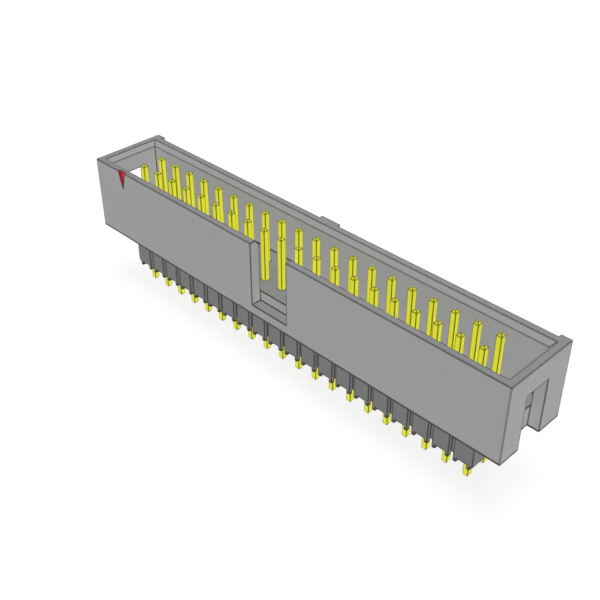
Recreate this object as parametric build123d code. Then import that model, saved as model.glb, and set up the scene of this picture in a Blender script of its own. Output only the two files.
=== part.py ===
from build123d import *
import math
import os

# Straight two-row pin header in a keyed shroud, raised off its board by a spacer strip.
# X runs along the rows, Y across them with the keyed wall at -Y, and Z is up.
# The origin is at the middle of the pin grid, on the board that the spacer's feet stand on.

# Pin grid
pins_per_row = 20
pin_pitch = 2.54
row_spacing = 2.54

# Pins: square wire with broken long edges, tapered to a small flat at both ends
pin_width = 0.64
pin_edge_chamfer = 0.05
contact_tip_below_rim = 0.03
contact_taper_length = 0.22
contact_flat = 0.21
tail_length = 2.23
tail_taper_length = 0.32
tail_flat = 0.24

# Gap on each side between a pin and the hole that it is pressed through
pin_hole_clearance = 0.01

# Spacer strip: one cell for each pair of pins, with grooves between cells and feet below
spacer_width = 5.05
spacer_height = 4.78
groove_width = 0.57
groove_depth = 0.43
foot_height = 0.47
foot_width = 0.38

# Shroud: walls, floor and the lead-in slope round its mouth
end_margin = 5.08
shroud_width = 8.8
shroud_height = 8.85
side_wall = 1.24
end_wall = 1.28
floor_thickness = 2.5
lead_in_width = 0.47
lead_in_height = 0.6
shroud_corner_radius = 0.06
rim_radius = 0.04

# Key notch in the front wall, and the slot in each end wall
key_width = 5.16
key_sill_height = 1.25
end_slot_width = 3.28
end_slot_height = 6.3

# Ribs on the back wall
rib_depth = 0.4
end_rib_width = 1.23
middle_rib_width = 2.6

# Triangular recess that marks pin 1, and the coat of paint inside it
mark_end_distance = 4.88
mark_width = 1.25
mark_height = 2.17
mark_depth = 0.28
paint_thickness = 0.05

# Sizes and places that follow from the ones above
shroud_length = (pins_per_row - 1) * pin_pitch + 2 * end_margin
spacer_length = pins_per_row * pin_pitch
cell_face_width = pin_pitch - groove_width
shroud_bottom = spacer_height
cavity_floor = shroud_bottom + floor_thickness
rim_top = shroud_bottom + shroud_height
pin_top = rim_top - contact_tip_below_rim
pin_bottom = -tail_length
front_face = -shroud_width / 2
back_face = shroud_width / 2
mark_x = -shroud_length / 2 + mark_end_distance

# How far a cutting block runs past the face that it opens
overrun = 1.0

upside_down = Rot(180, 0, 0)


def block(x_range, y_range, z_range):
    """A box between two values on each axis."""
    ranges = (x_range, y_range, z_range)
    size = [high - low for low, high in ranges]
    middle = [(low + high) / 2 for low, high in ranges]
    return Pos(*middle) * Box(*size)


def at_height(z):
    return Pos(0, 0, z)


def narrowing(section, height, inset):
    """A solid that stands on the section and narrows evenly by the inset on every side."""
    return extrude(section, height, taper=math.degrees(math.atan2(inset, height)))


def pin_places():
    """The places of all pins, two to a column."""
    return GridLocations(pin_pitch, row_spacing, pins_per_row, 2)


def pin_holes(low_z, high_z):
    """One square hole for every pin, as a tool to cut with."""
    hole_width = pin_width + 2 * pin_hole_clearance
    section = Sketch() + [place * Rectangle(hole_width, hole_width) for place in pin_places()]
    return extrude(at_height(low_z) * section, high_z - low_z)


def shroud_outline():
    """The shroud seen from above: its outer walls with three ribs on the back."""
    end_rib_x = (shroud_length - end_rib_width) / 2
    ribs = ((-end_rib_x, end_rib_width), (0, middle_rib_width), (end_rib_x, end_rib_width))
    outline = Rectangle(shroud_length, shroud_width)
    for rib_x, rib_width in ribs:
        outline += Pos(rib_x, back_face) * Rectangle(rib_width, 2 * rib_depth)
    return fillet(outline.vertices(), shroud_corner_radius)


def mark_prism(height, depth):
    """The pin 1 triangle, with its apex down and its base open above the rim."""
    slope = mark_width / 2 / mark_height
    top = rim_top + overrun
    apex_z = rim_top - height
    half_base = slope * (top - apex_z)
    corners = [
        (mark_x, apex_z),
        (mark_x + half_base, top),
        (mark_x - half_base, top),
    ]
    face_plane = Plane(origin=(0, front_face - overrun, 0), x_dir=(1, 0, 0), z_dir=(0, -1, 0))
    outline = face_plane * Polygon(*corners, align=None)
    return extrude(outline, -(depth + overrun))


def make_shroud():
    shroud = extrude(at_height(shroud_bottom) * shroud_outline(), shroud_height)
    rim = shroud.faces().sort_by(Axis.Z)[-1]
    shroud = fillet(rim.outer_wire().edges(), rim_radius)

    cavity_length = shroud_length - 2 * end_wall
    cavity_width = shroud_width - 2 * side_wall
    cavity = Rectangle(cavity_length, cavity_width)
    mouth = Rectangle(cavity_length + 2 * lead_in_width, cavity_width + 2 * lead_in_width)
    shroud -= extrude(at_height(cavity_floor) * cavity, rim_top - cavity_floor)
    shroud -= at_height(rim_top) * upside_down * narrowing(mouth, lead_in_height, lead_in_width)

    shroud -= block(
        (-key_width / 2, key_width / 2),
        (front_face - overrun, front_face + side_wall),
        (shroud_bottom + key_sill_height, rim_top + overrun),
    )
    for side in (-1, 1):
        outer_x = side * (shroud_length / 2 + overrun)
        inner_x = side * (shroud_length / 2 - end_wall)
        shroud -= block(
            sorted((outer_x, inner_x)),
            (-end_slot_width / 2, end_slot_width / 2),
            (shroud_bottom - overrun, shroud_bottom + end_slot_height),
        )
    shroud -= mark_prism(mark_height, mark_depth)
    shroud -= pin_holes(shroud_bottom - overrun, cavity_floor + overrun)
    return shroud


def make_spacer():
    spacer = block(
        (-spacer_length / 2, spacer_length / 2),
        (-spacer_width / 2, spacer_width / 2),
        (foot_height, spacer_height),
    )

    groove_places = GridLocations(pin_pitch, spacer_width, pins_per_row - 1, 2)
    groove = Rectangle(groove_width, 2 * groove_depth)
    grooves = Sketch() + [place * groove for place in groove_places]
    spacer -= extrude(grooves, spacer_height + overrun)

    # Each foot stands flush with the side of a groove and with the long face
    foot_x = (cell_face_width - foot_width) / 2
    foot_y = (spacer_width - groove_depth) / 2
    foot = Rectangle(foot_width, groove_depth)
    cell_places = GridLocations(pin_pitch, 2 * foot_y, pins_per_row, 2)
    feet = Sketch() + [
        place * Pos(side * foot_x, 0) * foot for place in cell_places for side in (-1, 1)
    ]
    spacer += extrude(feet, foot_height)
    return spacer - pin_holes(-overrun, spacer_height + overrun)


def make_pin():
    wire = Rectangle(pin_width, pin_width)
    shank_bottom = pin_bottom + tail_taper_length
    shank_top = pin_top - contact_taper_length
    contact_inset = (pin_width - contact_flat) / 2
    tail_inset = (pin_width - tail_flat) / 2
    pin = extrude(at_height(shank_bottom) * wire, shank_top - shank_bottom)
    pin += at_height(shank_top) * narrowing(wire, contact_taper_length, contact_inset)
    pin += at_height(shank_bottom) * upside_down * narrowing(wire, tail_taper_length, tail_inset)

    # The wire's long edges are broken, and so are the corners of its tapers
    broken_wire = chamfer(wire.vertices(), pin_edge_chamfer)
    return pin & extrude(at_height(pin_bottom) * broken_wire, pin_top - pin_bottom)


def make_pin_1_mark():
    """The paint that coats the back and both sides of the recess."""
    slope_angle = math.atan(mark_width / 2 / mark_height)
    inner_height = mark_height - paint_thickness / math.sin(slope_angle)
    coat = mark_prism(mark_height, mark_depth) - mark_prism(inner_height, mark_depth - paint_thickness)
    recess_space = block(
        (mark_x - mark_width, mark_x + mark_width),
        (front_face, front_face + mark_depth),
        (rim_top - mark_height, rim_top),
    )
    return coat & recess_space


def write(shape, node):
    export_step(shape, f"parts/{node}.step")


os.makedirs("parts", exist_ok=True)
write(make_shroud(), "shroud")
write(make_spacer(), "spacer")
write(make_pin_1_mark(), "pin_1_mark")

# Odd numbers run along the front row from the marked end, even numbers along the back row
pin = make_pin()
for column in range(pins_per_row):
    pin_x = (column - (pins_per_row - 1) / 2) * pin_pitch
    for row, pin_y in enumerate((-row_spacing / 2, row_spacing / 2)):
        number = 2 * column + row + 1
        write(Pos(pin_x, pin_y, 0) * pin, f"pin_{number:02d}")
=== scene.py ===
from math import cos, pi, radians, sin
import bpy
from mathutils import Matrix, Vector


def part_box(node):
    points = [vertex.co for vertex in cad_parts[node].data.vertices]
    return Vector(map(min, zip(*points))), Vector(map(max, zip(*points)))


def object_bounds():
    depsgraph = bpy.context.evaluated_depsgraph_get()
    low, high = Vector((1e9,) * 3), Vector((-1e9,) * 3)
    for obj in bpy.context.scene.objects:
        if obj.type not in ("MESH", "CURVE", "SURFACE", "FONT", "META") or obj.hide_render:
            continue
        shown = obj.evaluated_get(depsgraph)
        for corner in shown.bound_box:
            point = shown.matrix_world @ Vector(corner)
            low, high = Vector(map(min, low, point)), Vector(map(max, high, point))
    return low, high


# Looks of a two-row pin header in a keyed shroud: moulded plastic, gold-coloured pins and a painted mark
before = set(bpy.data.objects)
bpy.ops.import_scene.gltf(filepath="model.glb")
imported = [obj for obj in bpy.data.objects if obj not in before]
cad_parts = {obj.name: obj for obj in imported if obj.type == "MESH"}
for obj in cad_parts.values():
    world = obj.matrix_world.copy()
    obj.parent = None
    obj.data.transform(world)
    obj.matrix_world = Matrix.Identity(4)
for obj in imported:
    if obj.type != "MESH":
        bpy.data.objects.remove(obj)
cad_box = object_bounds()
MM = 0.001

# Angles are in degrees. Azimuth 0 is in front of the keyed wall, and 90 is at the end away from pin 1
RIGHT_ANGLE = 90.0

# Camera: the photograph's place, direction and field of view
CAMERA_PLACE = Vector((59.643, -58.990, 64.855)) * MM
CAMERA_AZIMUTH = 45.237
CAMERA_ELEVATION = 35.169
CAMERA_ROLL = -0.137
CAMERA_LENS = 57.666
SENSOR_WIDTH = 36.0
NEAREST_SEEN = 1.0 * MM
FARTHEST_SEEN = 10.0

# Light: two broad lamps without shadows, a dim one overhead that gives the floor its shadow, and a dim sky
KEY_AZIMUTH = 47.0
KEY_ELEVATION = 16.5
KEY_LEVEL = 1.36
BACK_AZIMUTH = 210.0
BACK_ELEVATION = 8.0
BACK_LEVEL = 0.72
TOP_AZIMUTH = 0.0
TOP_LEVEL = 0.12
LAMP_BREADTH = 35.0
SKY_LEVEL = 0.08
BACKDROP_LEVEL = 1.0

# Floor: as bright as the background away from the object's shadow
FLOOR_SIZE = 3.0
FLOOR_BOUNCE_GREY = (0.22, 0.22, 0.22)
FLOOR_SEEN_GREY = (0.9, 0.9, 0.9)
FLOOR_GLOW = 0.4

# Base colours, linear
WHITE = (1.0, 1.0, 1.0)
SHROUD_GREY = (0.295, 0.295, 0.295)
SPACER_GREY = (0.158, 0.158, 0.158)
PIN_YELLOW = (0.75, 0.75, 0.04)
PAINT_RED = (0.47, 0.02, 0.026)

# Shroud and spacer: marks where the plastic flowed along the mould, and the mould's fine grain
FLOW_LENGTH = 9.0 * MM
GRAIN_SIZE = 0.09 * MM
# Height of the strip of painted shade along the foot of the upright faces
FOOT_SHADE_HEIGHT = 0.3 * MM
SHROUD_ROUGHNESS = 0.6
SHROUD_SPECKLE_DARKNESS = 0.07
SPACER_ROUGHNESS = 0.65
SPACER_SPECKLE_DARKNESS = 0.12
PLASTIC_TONE = {"Stretch": (0.35, 1.0, 1.0), "Patches per metre": 1.0 / FLOW_LENGTH, "Variation": 0.14}
PLASTIC_GLOSS = {"Patches per metre": 350.0, "Variation": 0.25}
PLASTIC_GRAIN = {"Grains per metre": 1.0 / GRAIN_SIZE}
# Rounding of the edges, and how far painted shade reaches along them
PLASTIC_EDGE_ROUNDING_AND_SHADE = {"Radius": 0.05 * MM, "Shade reach": 0.25 * MM}
PLASTIC_RELIEF = {"Distance": 0.006 * MM, "Strength": 0.6}
# How dark the painted edge shade is
PLASTIC_EDGE_SHADE_DARKNESS = 0.9
PLASTIC_SPECULAR = 0.3

# Pins: drawn wire, with painted shade along its edges, in a band that reaches further on the tips' small
# facets
PIN_TONE = {"Stretch": (1.0, 1.0, 0.3), "Patches per metre": 900.0, "Variation": 0.16}
PIN_GLOSS = {"Roughness": 0.4, "Patches per metre": 1500.0, "Variation": 0.2}
PIN_EDGE_RADIUS = 0.03 * MM
SHANK_EDGE_SHADE_REACH = 0.14 * MM
TIP_EDGE_SHADE_REACH = 0.25 * MM
TIP_LENGTH = 0.35 * MM
PIN_EDGE_SHADE_DARKNESS = 0.85
PIN_BOUNCE_DULLING = 0.95
DRAWN_LINE_STRETCH = (1.0, 1.0, 0.03)
DRAWN_LINES_PER_METRE = 22000.0
PIN_RELIEF = {"Distance": 0.002 * MM, "Strength": 0.4}
PIN_METALLIC = 0.2
PIN_SPECULAR = 0.25

# Paint of the pin 1 mark: strokes of a small brush
PAINT_TONE = {"Stretch": (1.0, 1.0, 0.25), "Patches per metre": 2500.0, "Variation": 0.35}
PAINT_GLOSS = {"Roughness": 0.45, "Patches per metre": 2500.0, "Variation": 0.25}
# Rounding of the mark's edges and the reach of painted shade along them, then how dark that shade is
PAINT_EDGE_ROUNDING_AND_SHADE = {"Radius": 0.04 * MM, "Shade reach": 0.22 * MM}
PAINT_EDGE_SHADE_DARKNESS = 0.85
STROKE_STRETCH = (1.0, 1.0, 0.12)
STROKES_PER_METRE = 9000.0
PAINT_RELIEF = {"Distance": 0.01 * MM, "Strength": 0.5}
PAINT_SPECULAR = 0.3

# Character of each noise, and the value that all of them vary around
TONE_NOISE = {"Detail": 4.0, "Roughness": 0.6, "Distortion": 0.6}
GLOSS_NOISE = {"Detail": 3.0, "Roughness": 0.55}
GRAIN_NOISE = {"Detail": 2.0, "Roughness": 0.6}
DRAWN_LINE_NOISE = {"Detail": 2.0, "Roughness": 0.5}
STROKE_NOISE = {"Detail": 3.0, "Roughness": 0.5}
NOISE_MIDDLE = 0.5

# Height of the grain where its speckle begins, and where it is full
SPECKLE_BEGINS = 0.3
SPECKLE_FULL = 0.7

# Edges: samples of the rounded normal, and how like the flat normal it is, off an edge and on it
BEVEL_SAMPLES = 8
LIKENESS_OFF_EDGE = 0.999
LIKENESS_ON_EDGE = 0.975

# Painted foot shade: the share of its height wholly dark, and the most an upright face's normal rises
FOOT_SHADE_DARK_SHARE = 0.5
UPRIGHT_RISE = 0.5

# A normal's X times Y is 0.5 on the flats that break a wire's long edges, and 0 on its other faces
BROKEN_EDGE_LIMIT = 0.3


def node(tree, kind, values=None, **properties):
    """Adds a node. Each value goes to the input of that name, as a number or as another node's output."""
    new = tree.nodes.new("ShaderNode" + kind)
    for name, value in properties.items():
        setattr(new, name, value)
    for name, value in (values or {}).items():
        if isinstance(value, bpy.types.NodeSocket):
            tree.links.new(value, new.inputs[name])
        else:
            new.inputs[name].default_value = value
    return new


def maths(tree, operation, first, second=0.0, third=0.0):
    return node(tree, "Math", {0: first, 1: second, 2: third}, operation=operation).outputs[0]


def scaled(tree, color, factor):
    return node(tree, "VectorMath", {0: color, "Scale": factor}, operation="SCALE").outputs[0]


def darker(tree, color, mask, share):
    """The colour, darkened by the share where the mask is 1."""
    return scaled(tree, color, maths(tree, "MULTIPLY_ADD", mask, -share, 1.0))


def smooth_step(tree, value, none_at, full_at):
    """0 at the first of two limits and beyond it, 1 at the second and beyond it, and smooth between them."""
    limits = {"Value": value, "From Min": none_at, "From Max": full_at}
    return node(tree, "MapRange", limits, interpolation_type="SMOOTHSTEP").outputs["Result"]


def where_on_part(tree):
    """The place on the part in metres, the same on every piece."""
    return node(tree, "TexCoord").outputs["Object"]


def height_on_part(tree):
    return node(tree, "SeparateXYZ", {0: where_on_part(tree)}).outputs["Z"]


def stretched(tree, stretch):
    """The place on the part, scaled on each axis. A pattern runs long on the axis of a small scale."""
    return node(tree, "VectorMath", {0: where_on_part(tree), 1: stretch}, operation="MULTIPLY").outputs[0]


def facing(tree):
    """The X, Y and Z of the flat surface's normal."""
    return node(tree, "SeparateXYZ", {0: node(tree, "NewGeometry").outputs["True Normal"]}).outputs


def noise(tree, place, per_metre, character):
    return node(tree, "TexNoise", {"Vector": place, "Scale": per_metre, **character}).outputs["Fac"]


def uneven(tree, middle, variation, patches):
    """The middle value, a little more or a little less from patch to patch."""
    around_zero = maths(tree, "SUBTRACT", patches, NOISE_MIDDLE)
    return maths(tree, "MULTIPLY_ADD", around_zero, variation, middle)


def relief(tree, height, normal, values):
    """The normal with a fine relief of the given height on it."""
    return node(tree, "Bump", {"Height": height, "Normal": normal, **values}).outputs[0]


def opaque(color):
    return (*color, 1.0)


def new_group(name, inputs, outputs):
    """An empty effect, whose inputs and outputs are given as the kind of each named socket."""
    group = bpy.data.node_groups.new(name, "ShaderNodeTree")
    for label, kind in inputs.items():
        group.interface.new_socket(label, in_out="INPUT", socket_type="NodeSocket" + kind)
    for label, kind in outputs.items():
        group.interface.new_socket(label, in_out="OUTPUT", socket_type="NodeSocket" + kind)
    return group, group.nodes.new("NodeGroupInput").outputs, group.nodes.new("NodeGroupOutput").inputs


def use(tree, group, values):
    """Places an effect in a material with its own values, and gives its outputs."""
    return node(tree, "Group", values, node_tree=group).outputs


def uneven_tone_effect():
    """A colour that drifts a little lighter and darker over the surface, in patches that can be long."""
    group, given, result = new_group(
        "uneven tone",
        {"Color": "Color", "Stretch": "Vector", "Patches per metre": "Float", "Variation": "Float"},
        {"Color": "Color"},
    )
    patches = noise(group, stretched(group, given["Stretch"]), given["Patches per metre"], TONE_NOISE)
    factor = uneven(group, 1.0, given["Variation"], patches)
    group.links.new(scaled(group, given["Color"], factor), result["Color"])
    return group


def uneven_gloss_effect():
    """A roughness that varies in soft patches, as where a surface has been handled."""
    group, given, result = new_group(
        "uneven gloss",
        {"Roughness": "Float", "Variation": "Float", "Patches per metre": "Float"},
        {"Roughness": "Float"},
    )
    patches = noise(group, where_on_part(group), given["Patches per metre"], GLOSS_NOISE)
    group.links.new(uneven(group, given["Roughness"], given["Variation"], patches), result["Roughness"])
    return group


def moulded_grain_effect():
    """The fine grain that a spark-eroded mould leaves, as a height and as a speckle from 0 to 1."""
    group, given, result = new_group(
        "moulded grain",
        {"Grains per metre": "Float"},
        {"Height": "Float", "Speckle": "Float"},
    )
    grains = noise(group, where_on_part(group), given["Grains per metre"], GRAIN_NOISE)
    group.links.new(grains, result["Height"])
    group.links.new(smooth_step(group, grains, SPECKLE_BEGINS, SPECKLE_FULL), result["Speckle"])
    return group


def soft_edge_and_shade_effect():
    """The small radius on every edge, as a normal, and a mask, 1 in a thin band along the edges, for painted
    shade.
    """
    group, given, result = new_group(
        "soft edge and painted shade",
        {"Radius": "Float", "Shade reach": "Float"},
        {"Normal": "Vector", "Painted edge shade": "Float"},
    )
    rounded = node(group, "Bevel", {"Radius": given["Radius"]}, samples=BEVEL_SAMPLES)
    wide = node(group, "Bevel", {"Radius": given["Shade reach"]}, samples=BEVEL_SAMPLES)
    flat = node(group, "NewGeometry").outputs["Normal"]
    compared = node(group, "VectorMath", {0: wide.outputs[0], 1: flat}, operation="DOT_PRODUCT")
    edge_shade = smooth_step(group, compared.outputs["Value"], LIKENESS_OFF_EDGE, LIKENESS_ON_EDGE)
    group.links.new(rounded.outputs[0], result["Normal"])
    group.links.new(edge_shade, result["Painted edge shade"])
    return group


def painted_foot_shade_effect():
    """A mask for painted shade, 1 in a narrow strip along the foot of a moulding's upright faces."""
    group, given, result = new_group(
        "painted foot shade",
        {"Bottom": "Float", "Height": "Float"},
        {"Mask": "Float"},
    )
    above_foot = maths(group, "SUBTRACT", height_on_part(group), given["Bottom"])
    share_of_strip = maths(group, "DIVIDE", above_foot, given["Height"])
    strip = smooth_step(group, share_of_strip, 1.0, FOOT_SHADE_DARK_SHARE)
    upright = maths(group, "LESS_THAN", maths(group, "ABSOLUTE", facing(group)["Z"]), UPRIGHT_RISE)
    group.links.new(maths(group, "MULTIPLY", strip, upright), result["Mask"])
    return group


def empty_material(name):
    material = bpy.data.materials.new(name)
    material.use_nodes = True
    material.node_tree.nodes.clear()
    return material, material.node_tree


def surface_material(name):
    """A material whose node tree holds only one Principled shader and its output."""
    material, tree = empty_material(name)
    shader = node(tree, "BsdfPrincipled")
    node(tree, "OutputMaterial", {"Surface": shader.outputs[0]}, is_active_output=True)
    return material, tree, shader


def connect(tree, shader, color, roughness, normal):
    tree.links.new(color, shader.inputs["Base Color"])
    tree.links.new(roughness, shader.inputs["Roughness"])
    tree.links.new(normal, shader.inputs["Normal"])


def moulded_plastic(piece, color, roughness, speckle_darkness):
    """Matt plastic with flow marks along the part, fine grain, and painted shade along its edges and at its
    foot.
    """
    material, tree, shader = surface_material(piece + "_plastic")
    tone = use(tree, uneven_tone, {"Color": opaque(color), **PLASTIC_TONE})
    gloss = use(tree, uneven_gloss, {"Roughness": roughness, **PLASTIC_GLOSS})
    grain = use(tree, moulded_grain, PLASTIC_GRAIN)
    edge_round_and_shade = use(tree, soft_edge_and_shade, PLASTIC_EDGE_ROUNDING_AND_SHADE)
    foot_shade = use(tree, painted_foot_shade, {"Bottom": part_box(piece)[0].z, "Height": FOOT_SHADE_HEIGHT})
    speckled = darker(tree, tone["Color"], grain["Speckle"], speckle_darkness)
    # Painted shade along every edge and along the foot of the upright faces darkens the colour
    edge_or_foot_shade = maths(tree, "MAXIMUM", edge_round_and_shade["Painted edge shade"], foot_shade["Mask"])
    edge_shaded = darker(tree, speckled, edge_or_foot_shade, PLASTIC_EDGE_SHADE_DARKNESS)
    grained = relief(tree, grain["Height"], edge_round_and_shade["Normal"], PLASTIC_RELIEF)
    connect(tree, shader, edge_shaded, gloss["Roughness"], grained)
    shader.inputs["Specular IOR Level"].default_value = PLASTIC_SPECULAR
    return material


def shroud_plastic():
    return moulded_plastic("shroud", SHROUD_GREY, SHROUD_ROUGHNESS, SHROUD_SPECKLE_DARKNESS)


def spacer_plastic():
    return moulded_plastic("spacer", SPACER_GREY, SPACER_ROUGHNESS, SPACER_SPECKLE_DARKNESS)


def broken_edge(tree):
    """1 on the narrow flats that break the wire's long edges, which face halfway between X and Y."""
    normal = facing(tree)
    halfway = maths(tree, "ABSOLUTE", maths(tree, "MULTIPLY", normal["X"], normal["Y"]))
    return maths(tree, "GREATER_THAN", halfway, BROKEN_EDGE_LIMIT)


def wire_edge_shade_reach(tree):
    """How far the painted shade reaches from a wire's edges. It is further on the tips, which all lie level.
    """
    low, high = (corner.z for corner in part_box("pin_01"))
    middle = (low + high) / 2
    half_length = (high - low) / 2
    from_middle = maths(tree, "ABSOLUTE", maths(tree, "SUBTRACT", height_on_part(tree), middle))
    on_tip = maths(tree, "GREATER_THAN", from_middle, half_length - TIP_LENGTH)
    return maths(tree, "MULTIPLY_ADD", on_tip, TIP_EDGE_SHADE_REACH - SHANK_EDGE_SHADE_REACH, SHANK_EDGE_SHADE_REACH)


def pin_gold():
    """Drawn square wire with a bright yellow flash: fine lines along the wire under a satin surface.

    The light that bounces off a pin is dulled, so that the walls beside it aren't tinted.
    """
    material, tree, shader = surface_material("pin_gold")
    tone = use(tree, uneven_tone, {"Color": opaque(PIN_YELLOW), **PIN_TONE})
    gloss = use(tree, uneven_gloss, PIN_GLOSS)
    edge_round_and_shade = use(tree, soft_edge_and_shade, {"Radius": PIN_EDGE_RADIUS, "Shade reach": wire_edge_shade_reach(tree)})
    # Painted shade along the wire's edges and on the flats that break them
    either_edge_shade = maths(tree, "MAXIMUM", edge_round_and_shade["Painted edge shade"], broken_edge(tree))
    edge_shaded = darker(tree, tone["Color"], either_edge_shade, PIN_EDGE_SHADE_DARKNESS)
    bounced = node(tree, "LightPath").outputs["Is Diffuse Ray"]
    dulled = darker(tree, edge_shaded, bounced, PIN_BOUNCE_DULLING)
    lines = noise(tree, stretched(tree, DRAWN_LINE_STRETCH), DRAWN_LINES_PER_METRE, DRAWN_LINE_NOISE)
    drawn = relief(tree, lines, edge_round_and_shade["Normal"], PIN_RELIEF)
    connect(tree, shader, dulled, gloss["Roughness"], drawn)
    shader.inputs["Metallic"].default_value = PIN_METALLIC
    shader.inputs["Specular IOR Level"].default_value = PIN_SPECULAR
    return material


def mark_paint():
    """A thin coat of red paint, brushed down the recess and glossier than the plastic."""
    material, tree, shader = surface_material("mark_paint")
    tone = use(tree, uneven_tone, {"Color": opaque(PAINT_RED), **PAINT_TONE})
    gloss = use(tree, uneven_gloss, PAINT_GLOSS)
    edge_round_and_shade = use(tree, soft_edge_and_shade, PAINT_EDGE_ROUNDING_AND_SHADE)
    # Painted shade in a thin band along the mark's edges
    edge_shaded = darker(tree, tone["Color"], edge_round_and_shade["Painted edge shade"], PAINT_EDGE_SHADE_DARKNESS)
    strokes = noise(tree, stretched(tree, STROKE_STRETCH), STROKES_PER_METRE, STROKE_NOISE)
    brushed = relief(tree, strokes, edge_round_and_shade["Normal"], PAINT_RELIEF)
    connect(tree, shader, edge_shaded, gloss["Roughness"], brushed)
    shader.inputs["Specular IOR Level"].default_value = PAINT_SPECULAR
    return material


def dress(material, nodes):
    """Gives CAD nodes their finish."""
    for name in nodes:
        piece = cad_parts[name]
        piece.data.materials.clear()
        piece.data.materials.append(material)


def pin_names():
    return sorted(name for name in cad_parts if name.startswith("pin_") and name != "pin_1_mark")


def seen_directly(tree):
    """1 for what the camera, a reflection or glass sees, and 0 for the light that falls on the object."""
    path = node(tree, "LightPath").outputs
    seen = maths(tree, "ADD", path["Is Camera Ray"], path["Is Glossy Ray"])
    rays = {0: seen, 1: path["Is Transmission Ray"]}
    return node(tree, "Math", rays, operation="ADD", use_clamp=True).outputs[0]


def floor_finish():
    """A pale floor that meets the white background without an edge and keeps the object's shadow.

    From below it is clear, so that the underside can be looked at.
    """
    material, tree = empty_material("floor")
    bounce = node(tree, "BsdfDiffuse", {"Color": opaque(FLOOR_BOUNCE_GREY)})
    shadowed = node(tree, "BsdfDiffuse", {"Color": opaque(FLOOR_SEEN_GREY)})
    glow = node(tree, "Emission", {"Color": opaque(WHITE), "Strength": FLOOR_GLOW})
    shown = node(tree, "AddShader", {0: shadowed.outputs[0], 1: glow.outputs[0]})
    from_above = node(tree, "MixShader", {0: seen_directly(tree), 1: bounce.outputs[0], 2: shown.outputs[0]})
    underneath = node(tree, "NewGeometry").outputs["Backfacing"]
    clear = node(tree, "BsdfTransparent")
    one_way = node(tree, "MixShader", {0: underneath, 1: from_above.outputs[0], 2: clear.outputs[0]})
    node(tree, "OutputMaterial", {"Surface": one_way.outputs[0]})
    return material


def make_floor():
    """A flat square at the height of the tail tips."""
    height = cad_box[0].z
    half = FLOOR_SIZE / 2
    corners = [(-half, -half, height), (half, -half, height), (half, half, height), (-half, half, height)]
    mesh = bpy.data.meshes.new("floor")
    mesh.from_pydata(corners, [], [(0, 1, 2, 3)])
    floor = bpy.data.objects.new("floor", mesh)
    bpy.context.scene.collection.objects.link(floor)
    mesh.materials.append(floor_finish())


def make_sky():
    """White where it is seen, and an even sky where it lights the object."""
    world = bpy.data.worlds.new("sky")
    world.use_nodes = True
    bpy.context.scene.world = world
    tree = world.node_tree
    tree.nodes.clear()
    light = node(tree, "Background", {"Color": opaque(WHITE), "Strength": SKY_LEVEL})
    backdrop = node(tree, "Background", {"Color": opaque(WHITE), "Strength": BACKDROP_LEVEL})
    either = node(tree, "MixShader", {0: seen_directly(tree), 1: light.outputs[0], 2: backdrop.outputs[0]})
    node(tree, "OutputWorld", {"Surface": either.outputs[0]})


def direction(azimuth, elevation):
    """The way from the object to a place round it."""
    turn, rise = radians(azimuth), radians(elevation)
    return Vector((sin(turn) * cos(rise), -cos(turn) * cos(rise), sin(rise)))


def make_lamp(name, azimuth, elevation, level, casts_shadow):
    """A broad, distant lamp. At level 1 it renders a colour that faces it as written."""
    lamp = bpy.data.lights.new(name, "SUN")
    lamp.angle = radians(LAMP_BREADTH)
    lamp.energy = level * pi
    lamp.use_shadow = casts_shadow
    holder = bpy.data.objects.new(name, lamp)
    holder.rotation_euler = direction(azimuth, elevation).to_track_quat("Z", "Y").to_euler()
    bpy.context.scene.collection.objects.link(holder)


def turned_about(axis, angle):
    """The 4 by 4 matrix of a turn about an axis."""
    return Matrix.Rotation(radians(angle), 4, axis)


def make_camera():
    lens = bpy.data.cameras.new("camera")
    lens.sensor_fit = "HORIZONTAL"
    lens.sensor_width = SENSOR_WIDTH
    lens.lens = CAMERA_LENS
    lens.clip_start = NEAREST_SEEN
    lens.clip_end = FARTHEST_SEEN
    camera = bpy.data.objects.new("camera", lens)
    aim = turned_about("Z", CAMERA_AZIMUTH) @ turned_about("X", RIGHT_ANGLE - CAMERA_ELEVATION)
    camera.matrix_world = Matrix.Translation(CAMERA_PLACE) @ aim @ turned_about("Z", CAMERA_ROLL)
    bpy.context.scene.collection.objects.link(camera)
    bpy.context.scene.camera = camera


# Effects that more than one finish uses
uneven_tone = uneven_tone_effect()
uneven_gloss = uneven_gloss_effect()
moulded_grain = moulded_grain_effect()
soft_edge_and_shade = soft_edge_and_shade_effect()
painted_foot_shade = painted_foot_shade_effect()

# Finishes of the pieces
dress(shroud_plastic(), ["shroud"])
dress(spacer_plastic(), ["spacer"])
dress(pin_gold(), pin_names())
dress(mark_paint(), ["pin_1_mark"])

# Camera, background, floor and lamps
bpy.context.scene.view_settings.view_transform = "Standard"
make_camera()
make_sky()
make_floor()
make_lamp("key_fill", KEY_AZIMUTH, KEY_ELEVATION, KEY_LEVEL, casts_shadow=False)
make_lamp("back_fill", BACK_AZIMUTH, BACK_ELEVATION, BACK_LEVEL, casts_shadow=False)
make_lamp("top_lamp", TOP_AZIMUTH, RIGHT_ANGLE, TOP_LEVEL, casts_shadow=True)
